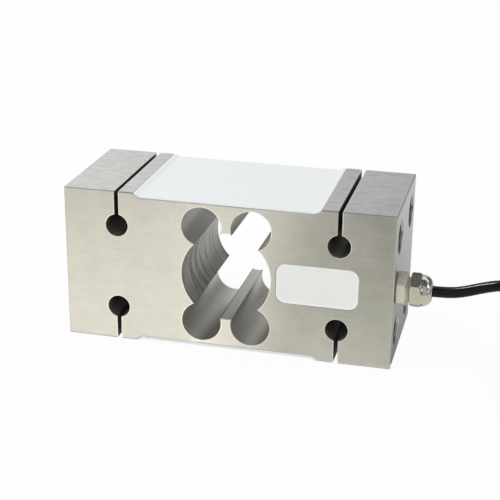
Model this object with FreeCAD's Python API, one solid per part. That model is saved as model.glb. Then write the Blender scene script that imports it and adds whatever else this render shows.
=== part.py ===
import FreeCAD, Part
import math
import os

from FreeCAD import Placement, Rotation, Vector

# Single-point load cell: a machined beam with a clover-shaped cut, gauges bonded in shallow
# recesses above and below it, a potted wiring pocket in its front, and a cable through a gland.
# Millimetres. X runs along the beam towards the gland, -Y is the front, Z is up from the
# underside, and the origin is the middle of the underside.

# Beam block
beam_length = 170.0
beam_depth = 70.0
beam_height = 81.0
edge_break = 0.5

# Saw slots that keep the clamped ends apart from the sprung middle
end_block = 27.8            # end face to slot centre
slot_width = 2.0
relief_diameter = 11.5
relief_from_face = 18.2     # top or underside to relief hole centre

# Shallow gauge recesses in the top and the underside
inner_pad = 9.1             # slot centre to recess edge
recess_depth = 2.5
recess_radius = 5.0         # hollow at both ends of the recess floor
cover_thickness = 1.3       # white rubber over the gauges

# Clover cut: one bore and four lobes
bore_diameter = 46.0
lobe_diameter = 20.4
lobe_spacing = 25.6
flexure_thickness = 2.0     # metal left between a lobe and the recess floor

# Wiring pocket in the front face
pocket_wall = 2.95          # metal between the bore and the pocket
pocket_end_wall = 17.55     # metal between the pocket and the gland's end face
pocket_height = 21.0
pocket_behind_gland = 8.0   # gland axis to pocket floor
pocket_corner = 4.75
potting_step = 0.25         # potting lies this far below the front face

# Tapped mounting holes in both ends, four in each
mount_hole_diameter = 16.0
mount_hole_depth = 16.0
mount_from_side = 15.0      # front or back face to hole axis
mount_from_top = 15.5       # top or underside to hole axis
drill_point_angle = 118.0

# Strain gauges and their terminal strips, on the recess floors
gauge_length = 12.0
gauge_width = 8.0
gauge_thickness = 0.2
strip_to_gauge = 4.0        # gauges' front edge to the strip
strip_length = 8.0
strip_width = 10.0
strip_thickness = 0.8
ribbon_width = 0.6
ribbon_thickness = 0.2
ribbon_pitch = 2.0

# Bridge wires and their passages from the recess floors down to the pocket
wire_diameter = 0.8
wire_pitch = 1.1
wire_lift = 0.1             # recess floor to the wire's underside
passage_clearance = 0.4     # outer wires to the passage wall
passage_from_floor_end = 6.0

# Board and trim resistors in the pocket
board_past_passage = 3.0    # wire passage to the board's near end
board_end_gap = 5.75        # board's far end to the pocket's end
board_floor_gap = 2.4       # board's back to the pocket floor
board_height = 14.0
board_thickness = 1.6
board_margin = 1.5          # wire ends from the board's long edges
resistor_size = (3.2, 0.6, 1.6)
resistor_spacing_x = 5.0
resistor_spacing_z = 8.0

# Cable
cable_diameter = 5.6
cable_clearance = 0.15
cable_drilling_gap = 0.7    # jacket to the drilling between the gland and the pocket
jacket_end_in_pocket = 5.4
core_diameter = 1.2
core_offset = 1.0
core_landings = (4.0, 7.0)  # jacket end to where near and far cores turn to the board
drain_diameter = 0.4
drain_landing = 10.5

# Cable gland
gland_from_front = 10.0
stem_diameter = 12.0
stem_length = 8.0
upper_stem_diameter = 12.8
upper_stem_length = 7.8
upper_stem_wall = 1.3       # thread to the insert's bore
thread_clearance = 0.05
base_hex_length = 4.5
nut_wall = 1.6              # upper thread to the hexagon's flats
nut_gap = 1.9               # bare thread between the two hexagons
nut_hex_length = 5.4
hex_chamfer = 0.7
gasket_thickness = 0.7
gasket_margin = 0.4         # gasket's edge inside the flats
dome_length = 5.1
dome_step = 0.1             # dome's foot inside the flats
dome_shoulder = (1.53, 1.15)  # fullest point of the dome: back from its end, in from its foot
dome_lip = 1.6              # width of the dome's end face with the cable's clearance
insert_seat = 0.3           # depth of the insert's seat in the base hexagon
insert_projection = 1.3     # insert past the end of the upper thread
claw_wall = 0.9
claw_slits = 6
claw_slit_width = 0.8
claw_slit_length = 4.0

# Coil of the spare cable, lying on its two ties
coil_from_exit = (82.9, -4.0)
coil_inner_turn = 22.7      # radius of the innermost turn's centreline
coil_outer_turn = 41.5
coil_layers = 4
coil_layer_gap = 0.1
tie_thickness = 1.2
tie_width = 4.6
tie_angles = {"coil_tie_front": -115.0, "coil_tie_back": 50.0}
tie_head = (5.4, 6.4, 3.2)

# Free run from the gland to the coil: along, across, and height above the coil's top as a share
# of the drop from the gland
run_route = [
    (0.0, 0.0, 1.0),
    (7.8, 0.0, 1.0),
    (15.2, 1.75, 1.02),
    (22.9, 5.4, 1.03),
    (33.1, 12.0, 1.0),
    (45.6, 20.5, 0.75),
    (59.3, 28.4, 0.31),
    (72.5, 33.6, 0.0),
    (84.8, 36.2, -0.17),
]

# Loose end of the cable beside the coil: along and across from the coil's centre, and height
tail_route = [
    (-41.3, 3.6, 4.0),
    (-40.0, 22.1, 3.4),
    (-30.5, 38.5, 2.8),
    (-16.8, 47.7, 2.8),
    (-2.0, 49.8, 2.8),
]

# Share of the shorter run beside a bend that the bend's arc takes
bend_share = 0.45

# Stripped leads: where each leaves the jacket, in core offsets across and up, and the angle in
# degrees at which it fans out
lead_layout = {
    "lead_red": (1, 1, 16.0),
    "lead_black": (1, -1, 8.0),
    "lead_drain": (0, 0, 0.5),
    "lead_green": (-1, 1, -7.0),
    "lead_white": (-1, -1, -14.0),
}
lead_runs = (11.0, 14.0, 13.0)
tip_length = 6.0
tip_diameter = 0.7

# Values that follow from the sizes above
half_length = beam_length / 2
half_depth = beam_depth / 2
mid_height = beam_height / 2
front = -half_depth
slot_x = half_length - end_block
recess_half = slot_x - inner_pad
recess_floor = beam_height - recess_depth
hollow_run = math.sqrt(recess_radius ** 2 - (recess_radius - recess_depth) ** 2)
floor_half = recess_half - hollow_run
lobe_x = lobe_spacing / 2
lobe_z = recess_floor - flexure_thickness - lobe_diameter / 2
gland_y = front + gland_from_front
pocket_left = bore_diameter / 2 + pocket_wall
pocket_right = half_length - pocket_end_wall
pocket_floor = gland_y + pocket_behind_gland
passage_x = floor_half - passage_from_floor_end
passage_y = gland_y
passage_radius = wire_pitch + wire_diameter / 2 + passage_clearance
strip_left = passage_x - strip_length / 2
strip_back = -gauge_width / 2 - strip_to_gauge
strip_front = strip_back - strip_width
board_left = passage_x - board_past_passage
board_right = pocket_right - board_end_gap
board_x = (board_left + board_right) / 2
board_back = pocket_floor - board_floor_gap
board_front = board_back - board_thickness
cable_radius = cable_diameter / 2
cable_fit = cable_radius + cable_clearance
jacket_end = pocket_right - jacket_end_in_pocket
gland_flats = upper_stem_diameter + 2 * nut_wall
gland_corner = gland_flats / math.sqrt(3)
base_hex_end = half_length + gasket_thickness + base_hex_length
upper_stem_end = base_hex_end + upper_stem_length
nut_start = base_hex_end + nut_gap
nut_hex_end = nut_start + nut_hex_length
exit_x = nut_hex_end + dome_length
insert_radius = upper_stem_diameter / 2 - upper_stem_wall
insert_start = base_hex_end - insert_seat
insert_end = upper_stem_end + insert_projection
coil_x = exit_x + coil_from_exit[0]
coil_y = gland_y + coil_from_exit[1]
coil_low = tie_thickness
coil_high = coil_low + coil_layers * cable_diameter + (coil_layers - 1) * coil_layer_gap
coil_inner = coil_inner_turn - cable_radius
coil_outer = coil_outer_turn + cable_radius


# Shape helpers

def block(x0, x1, y0, y1, z0, z1):
    """Box between two corners."""
    return Part.makeBox(x1 - x0, y1 - y0, z1 - z0, Vector(x0, y0, z0))


def rod(radius, start, along, length):
    """Cylinder from a start point along a direction."""
    return Part.makeCylinder(radius, length, start, along)


def prism(points, along):
    """Straight prism on a closed outline of points."""
    outline = Part.makePolygon(points + points[:1])
    return Part.Face(outline).extrude(along)


def ring_about_gland(profile):
    """Solid of revolution about the gland axis, from (x, radius) points.

    A point with a third entry is reached by an arc through that entry.
    """
    def at(spot):
        return Vector(spot[0], gland_y, mid_height + spot[1])

    edges = []
    for first, last in zip(profile, profile[1:] + profile[:1]):
        if len(last) == 3:
            edges.append(Part.Arc(at(first), at(last[2]), at(last)).toShape())
        else:
            edges.append(Part.LineSegment(at(first), at(last)).toShape())
    face = Part.Face(Part.Wire(edges))
    return face.revolve(Vector(0, gland_y, mid_height), Vector(1, 0, 0), 360)


def gland_rod(radius, start, end):
    """Cylinder on the gland axis."""
    return rod(radius, Vector(start, gland_y, mid_height), Vector(1, 0, 0), end - start)


def hexagon_about_gland(start, length):
    """Hexagonal prism about the gland axis with a flat to the front and a corner on top."""
    points = []
    for step in range(6):
        angle = math.radians(90 + 60 * step)
        y = gland_y + gland_corner * math.cos(angle)
        z = mid_height + gland_corner * math.sin(angle)
        points.append(Vector(start, y, z))
    return prism(points, Vector(length, 0, 0))


def bends(points):
    """Tangent arcs at the inner points of a route: first and last point, centre, axis, turn, radius."""
    arcs = []
    for before, corner, after in zip(points, points[1:], points[2:]):
        arrive = (corner - before).normalize()
        leave = (after - corner).normalize()
        turn = arrive.getAngle(leave)
        setback = bend_share * min((corner - before).Length, (after - corner).Length)
        radius = setback / math.tan(turn / 2)
        centre = corner + (leave - arrive).normalize() * (radius / math.cos(turn / 2))
        arcs.append((corner - arrive * setback, corner + leave * setback, centre,
                     arrive.cross(leave), turn, radius))
    return arcs


def section(points, diameter):
    """Round outline at the start of a route."""
    return Part.Wire([Part.Circle(points[0], points[1] - points[0], diameter / 2).toShape()])


def cable(points, diameter):
    """Round solid of straight runs and tangent arcs; returns it, its arc radii and its length."""
    edges = []
    radii = []
    start = points[0]
    for first, last, centre, axis, turn, radius in bends(points):
        half_turn = Rotation(axis, math.degrees(turn / 2))
        middle = centre + half_turn.multVec(first - centre)
        edges.append(Part.LineSegment(start, first).toShape())
        edges.append(Part.Arc(first, middle, last).toShape())
        radii.append(radius)
        start = last
    edges.append(Part.LineSegment(start, points[-1]).toShape())
    path = Part.Wire(edges)
    return path.makePipeShell([section(points, diameter)], True, False), radii, path.Length


def bent_wire(points, diameter):
    """Thin wire of straight runs that meet at mitred corners."""
    mitred = 1
    return Part.makePolygon(points).makePipeShell([section(points, diameter)], True, False, mitred)


def mirrored(shape):
    """Copy of an upper piece on the underside of the beam."""
    return shape.mirror(Vector(0, 0, mid_height), Vector(0, 0, 1))


# Beam

def recess_outline(offset):
    """Face of the upper recess in the X-Z plane at the front, or of its space above a cover."""
    radius = recess_radius - offset
    floor = recess_floor + offset
    centre_z = recess_floor + recess_radius
    reach = math.sqrt(radius ** 2 - (centre_z - beam_height) ** 2)
    slant = math.asin(reach / radius) / 2
    over = beam_height + recess_depth

    def at(x, z):
        return Vector(x, front, z)

    edges = []
    for side in (-1, 1):
        foot = at(side * floor_half, floor)
        bend = at(side * (floor_half + radius * math.sin(slant)), centre_z - radius * math.cos(slant))
        lip = at(side * (floor_half + reach), beam_height)
        edges.append(Part.Arc(foot, bend, lip).toShape())
        edges.append(Part.LineSegment(lip, at(side * (floor_half + reach), over)).toShape())
    edges.append(Part.LineSegment(at(-floor_half, floor), at(floor_half, floor)).toShape())
    edges.append(Part.LineSegment(at(-floor_half - reach, over), at(floor_half + reach, over)).toShape())
    return Part.Face(Part.Wire(Part.sortEdges(edges)[0]))


def recess_space(offset):
    """Upper recess through the whole depth of the beam."""
    return recess_outline(offset).extrude(Vector(0, beam_depth, 0))


def clover_cut():
    """Bore and four lobes through the beam from front to back."""
    across = Vector(0, 1, 0)
    shape = rod(bore_diameter / 2, Vector(0, front, mid_height), across, beam_depth)
    for x in (-lobe_x, lobe_x):
        for z in (lobe_z, beam_height - lobe_z):
            shape = shape.fuse(rod(lobe_diameter / 2, Vector(x, front, z), across, beam_depth))
    return shape


def slot_cuts():
    """Four saw slots, each from the top or underside to its relief hole."""
    across = Vector(0, 1, 0)
    cuts = []
    for x in (-slot_x, slot_x):
        relief_z = beam_height - relief_from_face
        relief = rod(relief_diameter / 2, Vector(x, front, relief_z), across, beam_depth)
        slot = block(x - slot_width / 2, x + slot_width / 2, front, half_depth, relief_z, beam_height)
        upper = relief.fuse(slot)
        cuts.extend([upper, mirrored(upper)])
    return cuts


def pocket_space(front_y):
    """Wiring pocket from a front plane to its floor, with rounded corners."""
    low = mid_height - pocket_height / 2
    shape = block(pocket_left, pocket_right, front_y, pocket_floor, low, low + pocket_height)
    corners = [edge for edge in shape.Edges if edge.BoundBox.YLength > potting_step]
    return shape.makeFillet(pocket_corner, corners)


def mount_holes():
    """Tapped holes with drilled ends, four in each end face."""
    radius = mount_hole_diameter / 2
    point = radius / math.tan(math.radians(drill_point_angle / 2))
    hole_y = half_depth - mount_from_side
    holes = []
    for side in (-1, 1):
        inward = Vector(-side, 0, 0)
        for y in (-hole_y, hole_y):
            for z in (mount_from_top, beam_height - mount_from_top):
                mouth = Vector(side * half_length, y, z)
                bottom = mouth + inward * mount_hole_depth
                hole = rod(radius, mouth, inward, mount_hole_depth)
                holes.append(hole.fuse(Part.makeCone(radius, 0, point, bottom, inward)))
    return holes


def wire_passage():
    """Drilling from the upper recess floor down into the pocket."""
    start = Vector(passage_x, passage_y, mid_height)
    return rod(passage_radius, start, Vector(0, 0, 1), recess_floor - mid_height)


def gland_bore():
    """Tapped mouth for the gland and the drilling behind it into the pocket."""
    tapped = gland_rod(stem_diameter / 2 + thread_clearance, half_length - stem_length, half_length)
    drilled = gland_rod(cable_radius + cable_drilling_gap, jacket_end, half_length)
    return tapped.fuse(drilled)


def beam():
    """Machined beam block."""
    shape = block(-half_length, half_length, front, half_depth, 0, beam_height)
    shape = shape.makeChamfer(edge_break, shape.Edges)
    upper_cuts = [recess_space(0), wire_passage()]
    cuts = [clover_cut(), pocket_space(front), gland_bore()]
    cuts += upper_cuts + [mirrored(cut) for cut in upper_cuts] + slot_cuts() + mount_holes()
    return shape.cut(cuts)


# Gauges and their wiring on the upper recess floor

def gauge(side):
    """Foil gauge on its backing, over one lobe."""
    x = side * lobe_x
    return block(x - gauge_length / 2, x + gauge_length / 2, -gauge_width / 2, gauge_width / 2,
                 recess_floor, recess_floor + gauge_thickness)


def terminal_strip():
    """Solder strip between the gauges and the wire passage."""
    return block(strip_left, strip_left + strip_length, strip_front, strip_back,
                 recess_floor, recess_floor + strip_thickness)


def jumper_ribbons():
    """Four flat ribbons from the gauges' front edges to the strip's near side."""
    starts = []
    for x in (lobe_x, -lobe_x):
        starts.extend([x + ribbon_pitch, x - ribbon_pitch])
    half = ribbon_width / 2
    middle_y = (strip_front + strip_back) / 2
    middle_step = (len(starts) - 1) / 2
    ribbons = []
    for step, x in enumerate(starts):
        y = middle_y + (middle_step - step) * ribbon_pitch
        corners = [
            (x - half, -gauge_width / 2), (x - half, y - half), (strip_left, y - half),
            (strip_left, y + half), (x + half, y + half), (x + half, -gauge_width / 2),
        ]
        points = [Vector(px, py, recess_floor) for px, py in corners]
        ribbons.append(prism(points, Vector(0, 0, ribbon_thickness)))
    return ribbons


def bridge_wires():
    """Three wires from the strip, down the passage, to the board."""
    level = recess_floor + wire_lift + wire_diameter / 2
    landing = mid_height + board_height / 2 - board_margin
    wires = []
    for step in (-1, 0, 1):
        x = passage_x + step * wire_pitch
        points = [
            Vector(x, strip_front, level), Vector(x, passage_y, level),
            Vector(x, passage_y, landing), Vector(x, board_front, landing),
        ]
        wires.append(bent_wire(points, wire_diameter))
    return wires


# Wiring in the pocket

def board():
    """Bridge board standing in the pocket."""
    return block(board_left, board_right, board_front, board_back,
                 mid_height - board_height / 2, mid_height + board_height / 2)


def resistors():
    """Four trim resistors on the front of the board."""
    long, thick, high = resistor_size
    chips = []
    for x in (board_x - resistor_spacing_x / 2, board_x + resistor_spacing_x / 2):
        for z in (mid_height - resistor_spacing_z / 2, mid_height + resistor_spacing_z / 2):
            chips.append(block(x - long / 2, x + long / 2, board_front - thick, board_front,
                               z - high / 2, z + high / 2))
    return chips


def core(across, up, landing, diameter):
    """One conductor from the jacket's end to the board."""
    y = gland_y + across
    z = mid_height + up
    points = [Vector(jacket_end, y, z), Vector(jacket_end - landing, y, z),
              Vector(jacket_end - landing, board_front, z)]
    return bent_wire(points, diameter)


def cable_cores():
    """Four colour-coded cores and the shield's drain wire inside the pocket."""
    near, far = core_landings
    return {
        "core_red": core(core_offset, core_offset, near, core_diameter),
        "core_black": core(core_offset, -core_offset, near, core_diameter),
        "core_green": core(-core_offset, core_offset, far, core_diameter),
        "core_white": core(-core_offset, -core_offset, far, core_diameter),
        "drain_wire": core(0, 0, drain_landing, drain_diameter),
    }


# Gland

def chamfered_hexagon(start, length, chamfer_start):
    """Gland hexagon with its corners turned off at the far end and, where asked, at the near end."""
    end = start + length
    shoulder = gland_flats / 2
    past_corner = 2 * gland_corner - shoulder
    slope_length = 2 * hex_chamfer
    profile = [(start, 0.0), (end, 0.0), (end, shoulder), (end - slope_length, past_corner)]
    if chamfer_start:
        profile += [(start + slope_length, past_corner), (start, shoulder)]
    else:
        profile += [(start, past_corner)]
    return hexagon_about_gland(start, length).common(ring_about_gland(profile))


def gland_gasket():
    """Flat seal between the gland's base and the end face."""
    end = half_length + gasket_thickness
    hole = gland_rod(stem_diameter / 2 + thread_clearance, half_length, end)
    return gland_rod(gland_flats / 2 - gasket_margin, half_length, end).cut(hole)


def gland_body():
    """Gland base: screwed stem, hexagon and the upper thread that takes the nut."""
    stem_start = half_length - stem_length
    hex_start = half_length + gasket_thickness
    hexagon = chamfered_hexagon(hex_start, base_hex_length, False)
    stem = gland_rod(stem_diameter / 2, stem_start, hex_start)
    upper = gland_rod(upper_stem_diameter / 2, base_hex_end, upper_stem_end)
    bore = gland_rod(cable_fit, stem_start, upper_stem_end)
    seat = gland_rod(insert_radius, insert_start, upper_stem_end)
    return hexagon.fuse([stem, upper]).cut([bore, seat])


def gland_seal():
    """Rubber bush pressed on the cable jacket."""
    hole = gland_rod(cable_radius, insert_start, insert_end)
    return gland_rod(insert_radius - claw_wall, insert_start, insert_end).cut(hole)


def gland_claw():
    """Slit clamping sleeve around the rubber bush."""
    inner = insert_radius - claw_wall
    shape = ring_about_gland([
        (insert_start, inner), (insert_end, inner), (insert_end, insert_radius - claw_wall / 2),
        (insert_end - claw_wall, insert_radius), (insert_start, insert_radius),
    ])
    slits = []
    for step in range(claw_slits):
        slit = block(insert_end - claw_slit_length, insert_end, gland_y, gland_y + insert_radius,
                     mid_height - claw_slit_width / 2, mid_height + claw_slit_width / 2)
        slit.rotate(Vector(0, gland_y, mid_height), Vector(1, 0, 0), step * 360 / claw_slits)
        slits.append(slit)
    return shape.cut(slits)


def gland_dome_nut():
    """Domed nut: chamfered hexagon, turned dome and the thread and cone inside it."""
    foot = gland_flats / 2 - dome_step
    shoulder = (exit_x - dome_shoulder[0], foot - dome_shoulder[1])
    dome = ring_about_gland([
        (nut_start, 0.0), (exit_x, 0.0), (exit_x, cable_radius + dome_lip),
        (nut_hex_end, foot, shoulder), (nut_start, foot),
    ])
    thread = upper_stem_diameter / 2 + thread_clearance
    thread_end = upper_stem_end + thread_clearance
    sleeve = insert_radius + thread_clearance
    sleeve_end = insert_end + thread_clearance
    hollow = ring_about_gland([
        (nut_start, 0.0), (nut_start, thread), (thread_end, thread), (thread_end, sleeve),
        (insert_end - claw_wall, sleeve), (sleeve_end, sleeve - claw_wall / 2),
        (sleeve_end, cable_fit), (exit_x, cable_fit), (exit_x, 0.0),
    ])
    hexagon = chamfered_hexagon(nut_start, nut_hex_length, True)
    turned_nut = dome.common(gland_rod(foot, nut_hex_end - hex_chamfer, exit_x))
    return hexagon.fuse(turned_nut).cut(hollow)


# Cable outside the gland

def coil_ring(grow):
    """Outer shape of the coil, or of a tie's outside when grown."""
    low, high = coil_low - grow, coil_high + grow
    inner, outer = coil_inner - grow, coil_outer + grow
    slope = cable_radius / 2 + grow / 2
    profile = [
        (inner + slope, low), (outer - slope, low), (outer, low + slope), (outer, high - slope),
        (outer - slope, high), (inner + slope, high), (inner, high - slope), (inner, low + slope),
    ]
    points = [Vector(coil_x + r, coil_y, z) for r, z in profile]
    face = Part.Face(Part.makePolygon(points + points[:1]))
    return face.revolve(Vector(coil_x, coil_y, 0), Vector(0, 0, 1), 360)


def coil_tie(angle):
    """Strap round the bundle, with its locking head on top."""
    strap = coil_ring(tie_thickness).cut(coil_ring(0))
    reach = coil_outer + 2 * tie_thickness
    slab = block(0, reach, -tie_width / 2, tie_width / 2, 0, coil_high + 2 * tie_thickness)
    long, wide, high = tie_head
    middle = (coil_inner + coil_outer) / 2
    top = coil_high + tie_thickness
    head = block(middle - long / 2, middle + long / 2, -wide / 2, wide / 2, top, top + high)
    head = head.makeChamfer(tie_thickness / 2, head.Edges)
    place = Placement(Vector(coil_x, coil_y, 0), Rotation(Vector(0, 0, 1), angle))
    for shape in (slab, head):
        shape.Placement = place
    sunk_head = head.fuse(head.translated(Vector(0, 0, -tie_thickness / 2)))
    return strap.common(slab).fuse(sunk_head).removeSplitter()


def run_points():
    """Points of the free run, from the gland's mouth to the coil's top."""
    drop = mid_height - coil_high
    return [Vector(exit_x + dx, gland_y + dy, coil_high + share * drop) for dx, dy, share in run_route]


def tail_points():
    """Points of the loose end, from the coil's lowest turn to the jacket's end."""
    return [Vector(coil_x + dx, coil_y + dy, z) for dx, dy, z in tail_route]


def lead_points(start, heading, angle, low):
    """Route of one stripped lead from the jacket's end down to the surface."""
    upright = Vector(0, 0, 1)
    out, aside, last_run = lead_runs
    turned = Rotation(upright, angle).multVec(heading)
    first = start + heading * out
    second = first + turned * aside
    second.z = low
    last = second + Rotation(upright, -angle / 2).multVec(turned) * last_run
    return [start, first, second, last]


def stripped_leads():
    """Coloured leads, drain wire and tinned tips at the cable's loose end."""
    end, before = tail_points()[-1], tail_points()[-2]
    heading = (end - before).normalize()
    across = Vector(-heading.y, heading.x, 0)
    leads = {}
    tips = []
    for name, (side, lift, angle) in lead_layout.items():
        bare = name == "lead_drain"
        diameter = drain_diameter if bare else core_diameter
        start = end + across * (side * core_offset) + Vector(0, 0, lift * core_offset)
        points = lead_points(start, heading, angle, diameter / 2)
        leads[name] = bent_wire(points, diameter)
        if not bare:
            along = (points[-1] - points[-2]).normalize()
            tips.append(rod(tip_diameter / 2, points[-1], along, tip_length))
    leads["lead_tips"] = Part.makeCompound(tips)
    return leads


# Build and export

def build():
    """All pieces by node name."""
    pieces = {"beam_body": beam()}

    upper = {
        "left_gauge": gauge(-1), "right_gauge": gauge(1), "terminal_strip": terminal_strip(),
        "jumper_ribbons": Part.makeCompound(jumper_ribbons()),
        "bridge_wires": Part.makeCompound(bridge_wires()),
    }
    buried = [solid for piece in upper.values() for solid in piece.Solids]
    sheet = recess_space(0).cut(recess_space(cover_thickness))
    sheet = sheet.common(block(-half_length, half_length, front, half_depth, recess_floor, beam_height))
    upper["gauge_cover"] = sheet.cut(buried)
    for name, shape in upper.items():
        pieces["upper_" + name] = shape
        pieces["lower_" + name] = mirrored(shape)

    pieces["bridge_board"] = board()
    pieces["trim_resistors"] = Part.makeCompound(resistors())
    pieces.update(cable_cores())
    pieces["cable_entry"] = gland_rod(cable_radius, jacket_end, exit_x)
    potted = ["upper_bridge_wires", "lower_bridge_wires", "bridge_board", "trim_resistors", "core_red",
              "core_black", "core_green", "core_white", "drain_wire", "cable_entry"]
    inside = [solid for name in potted for solid in pieces[name].Solids]
    pieces["pocket_potting"] = pocket_space(front + potting_step).cut(inside)

    pieces["gland_gasket"] = gland_gasket()
    pieces["gland_body"] = gland_body()
    pieces["gland_seal"] = gland_seal()
    pieces["gland_claw"] = gland_claw()
    pieces["gland_dome_nut"] = gland_dome_nut()

    pieces["cable_coil"] = coil_ring(0)
    for name, points in (("cable_run", run_points()), ("cable_tail", tail_points())):
        whole, radii, length = cable(points, cable_diameter)
        filled = whole.Volume / (math.pi * cable_radius ** 2 * length)
        print(name, "radii", [round(radius, 1) for radius in radii], "length", round(length, 1),
              "volume to section times length", round(filled, 4))
        pieces[name] = whole.cut(pieces["cable_coil"])
    for name, angle in tie_angles.items():
        pieces[name] = coil_tie(angle)
    pieces.update(stripped_leads())
    return pieces


os.makedirs("parts", exist_ok=True)
for node, shape in build().items():
    shape.exportStep("parts/" + node + ".step")
    print(node, "solids", len(shape.Solids), "valid", shape.isValid(), "volume", round(shape.Volume, 2))
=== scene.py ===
"""Beam load cell with its gland and cable, dressed for a studio picture.

All sizes are in metres and follow the part's solids. X runs along the beam towards the cable
gland, -Y is the front and Z is up from the underside, with the origin in the middle of it.
"""
import logging
import math
from collections.abc import Callable, Iterator, Sequence
from contextlib import contextmanager
from dataclasses import dataclass, field
from enum import Enum

import bmesh
import bpy
from mathutils import Matrix, Vector


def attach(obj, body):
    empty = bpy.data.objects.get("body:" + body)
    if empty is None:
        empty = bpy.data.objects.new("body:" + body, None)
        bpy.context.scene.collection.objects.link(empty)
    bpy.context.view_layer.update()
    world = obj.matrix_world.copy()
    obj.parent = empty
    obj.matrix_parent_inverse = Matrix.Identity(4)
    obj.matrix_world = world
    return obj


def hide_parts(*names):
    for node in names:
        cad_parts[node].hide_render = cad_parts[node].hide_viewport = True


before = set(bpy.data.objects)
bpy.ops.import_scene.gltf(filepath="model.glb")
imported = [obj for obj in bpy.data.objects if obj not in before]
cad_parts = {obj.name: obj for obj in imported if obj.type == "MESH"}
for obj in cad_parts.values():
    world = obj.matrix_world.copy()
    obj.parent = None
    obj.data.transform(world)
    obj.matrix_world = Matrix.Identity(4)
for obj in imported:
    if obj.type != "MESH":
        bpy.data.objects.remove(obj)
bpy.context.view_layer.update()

log = logging.getLogger("load_cell")

Pair = tuple[float, float]
Triple = tuple[float, float, float]
Object = bpy.types.Object
Material = bpy.types.Material
Node = bpy.types.Node
Socket = bpy.types.NodeSocket
Tree = bpy.types.NodeTree

# Body that every piece rides on, and the side of the square picture in pixels
BODY = "root"
PIXELS = 500

# Sides of round bodies, from the finest to the coarsest
FINE_ROUND = 96
SMALL_ROUND = 48
RELIEF_ROUND = 40
PASSAGE_ROUND = 24

# Distances below which points are merged and places count as the same
MERGE = 1e-7
SAME = 1e-5

# Limits of a unit vector's share along an axis: straight along it, roughly along it, across it
STRAIGHT = 0.995
ALONG = 0.9
ACROSS = 0.3

# Angle in degrees from which an edge counts as sharp
SHARP = 30.0

# Sizes and places that several pieces share
ORIGIN = (0.0, 0.0, 0.0)
HALF_LENGTH = 0.0850
HALF_DEPTH = 0.0350
HEIGHT = 0.0810
GLAND_LINE = (-0.0250, 0.0405)
COIL_MIDDLE = (0.1855, -0.0290)


class Axis(Enum):
    """Line that a rod runs along, with the turn that lays Blender's Z on it."""

    X = (0.0, math.pi / 2, 0.0)
    Y = (math.pi / 2, 0.0, 0.0)
    Z = (0.0, 0.0, 0.0)


class Cut(Enum):
    """Ways in which one body is combined with another."""

    AWAY = "DIFFERENCE"
    COMMON = "INTERSECT"
    JOINED = "UNION"


# Modelling by operators


def deselect() -> None:
    """Deselect every object."""
    bpy.ops.object.select_all(action="DESELECT")


def only(piece: Object) -> None:
    """Make a piece the only selected one, and the active one.

    Args:
        piece: Piece to work on.
    """
    deselect()
    piece.select_set(True)
    bpy.context.view_layer.objects.active = piece


def rename(piece: Object, name: str) -> None:
    """Name an object and its mesh."""
    piece.name = name
    piece.data.name = name


def settle(name: str) -> Object:
    """Name the object just added and put its place and size into its mesh.

    Args:
        name: Name for the object and its mesh.

    Returns:
        The object, at the origin.
    """
    piece = bpy.context.active_object
    rename(piece, name)
    bpy.ops.object.transform_apply(location=True, rotation=True, scale=True)
    return piece


def discard(piece: Object) -> None:
    """Remove a piece that is used up, and its mesh.

    Args:
        piece: Piece to remove.
    """
    mesh = piece.data
    bpy.data.objects.remove(piece)
    bpy.data.meshes.remove(mesh)


def add_box(name: str, low: Sequence[float], high: Sequence[float]) -> Object:
    """Add a box between two corners.

    Args:
        name: Name of the box.
        low: Lowest corner.
        high: Highest corner.

    Returns:
        The box.
    """
    low, high = Vector(low), Vector(high)
    deselect()
    bpy.ops.mesh.primitive_cube_add(size=1.0, location=(low + high) / 2, scale=high - low)
    return settle(name)


def add_rod(name: str, radius: float, middle: Sequence[float], length: float, axis: Axis,
            sides: int = FINE_ROUND, twist: float = 0.0) -> Object:
    """Add a straight prism of many sides, or few.

    Args:
        name: Name of the rod.
        radius: Radius to its corners.
        middle: Centre of the rod.
        length: Length along the axis.
        axis: Line that it runs along.
        sides: Number of sides.
        twist: Turn about its own line, in radians.

    Returns:
        The rod.
    """
    turn = Matrix.Rotation(0.0, 3, "Z")
    for angle, line in zip(axis.value, "XYZ"):
        turn = turn @ Matrix.Rotation(angle, 3, line)
    turn = turn @ Matrix.Rotation(twist, 3, "Z")
    deselect()
    bpy.ops.mesh.primitive_cylinder_add(vertices=sides, radius=radius, depth=length,
                                        location=middle, rotation=turn.to_euler())
    return settle(name)


@contextmanager
def editing(piece: Object) -> Iterator[bmesh.types.BMesh]:
    """Edit mode on one piece, with nothing selected at its start.

    Args:
        piece: Object to edit.

    Yields:
        The mesh being edited, for picking by place or normal.
    """
    only(piece)
    bpy.ops.object.mode_set(mode="EDIT")
    bpy.ops.mesh.select_all(action="DESELECT")
    yield bmesh.from_edit_mesh(piece.data)
    bpy.ops.object.mode_set(mode="OBJECT")


def pick_faces(mesh: bmesh.types.BMesh, wanted: Callable[[bmesh.types.BMFace], bool]) -> None:
    """Select the faces of an edited mesh that a test accepts.

    Args:
        mesh: Mesh being edited.
        wanted: Test on a face.
    """
    bpy.ops.mesh.select_mode(type="FACE")
    for face in mesh.faces:
        face.select_set(wanted(face))


def pick_edges(mesh: bmesh.types.BMesh, wanted: Callable[[Vector, Vector], bool]) -> None:
    """Select the edges of an edited mesh that a test accepts.

    Args:
        mesh: Mesh being edited.
        wanted: Test on an edge's middle and direction.
    """
    bpy.ops.mesh.select_mode(type="EDGE")
    for edge in mesh.edges:
        first, last = (vertex.co for vertex in edge.verts)
        edge.select_set(wanted((first + last) / 2, (last - first).normalized()))


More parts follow.
